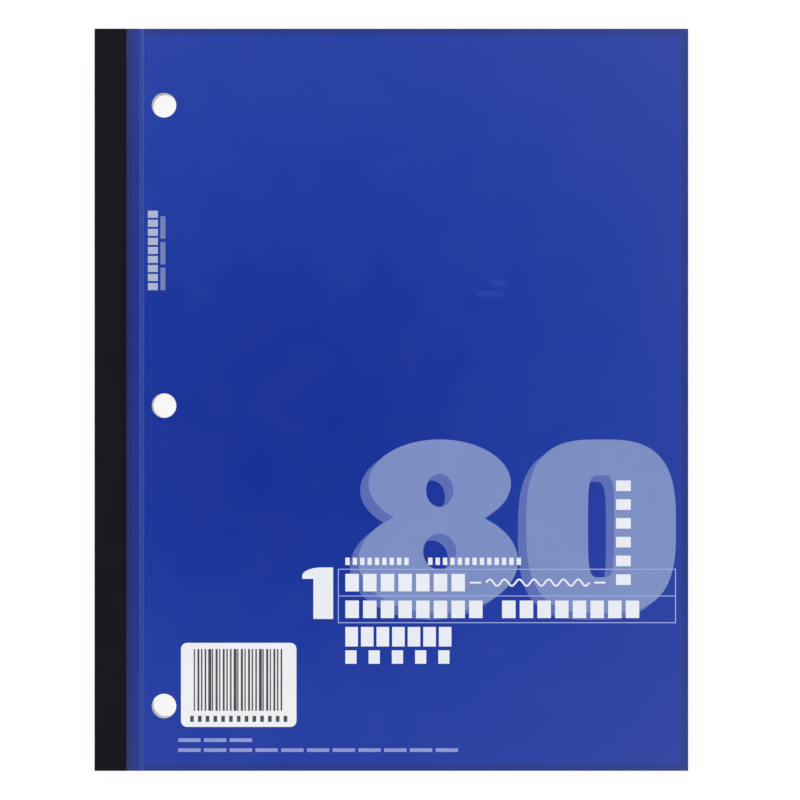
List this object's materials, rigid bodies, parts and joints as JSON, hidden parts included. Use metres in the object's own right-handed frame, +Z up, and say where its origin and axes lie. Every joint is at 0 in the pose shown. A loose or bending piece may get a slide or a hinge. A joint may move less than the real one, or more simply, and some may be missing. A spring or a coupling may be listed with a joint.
{
  "type": "tape-bound notebook",
  "caption": "Soft-cover notebook lying flat: punched page block, card covers scored to turn beside a taped and stapled spine, plain numerals on the front.",
  "frame": {"origin": "middle of the footprint, on the surface that the notebook lies on", "axes": "+X from the spine to the fore-edge, +Y from the tail to the head, +Z up, out of the front cover"},
  "size_m": [0.2134, 0.2666, 0.0072],
  "materials": {
    "paper": "white writing paper, trimmed edges",
    "cover_card": "blue coated card, satin",
    "binding_tape": "black cloth tape, matt",
    "staple_wire": "galvanised flat wire",
    "pale_ink": "pale blue print",
    "shade_ink": "darker blue print",
    "white_ink": "white print",
    "panel_white": "white print",
    "grey_ink": "dark grey print"
  },
  "bodies": {
    "bound_block": {"page_block": "paper", "front_cover_strip": "cover_card", "back_cover_strip": "cover_card", "binding_tape": "binding_tape", "staples": "staple_wire"},
    "front_leaf": {"front_cover": "cover_card", "figure_print": "pale_ink", "figure_shade": "shade_ink", "title_print": "white_ink", "small_print": "white_ink", "code_panel": "panel_white", "code_bars": "grey_ink"},
    "back_leaf": {"back_cover": "cover_card"}
  },
  "joints": [
    {"name": "front_cover_fold", "type": "hinge", "parent": "bound_block", "child": "front_leaf", "pos_m": [-0.08969, 0, 0.00721], "axis": [0, -1, 0], "range_deg": [0, 180]},
    {"name": "back_cover_fold", "type": "hinge", "parent": "bound_block", "child": "back_leaf", "pos_m": [-0.08969, 0, 0.00003], "axis": [0, 1, 0], "range_deg": [0, 180]}
  ]
}
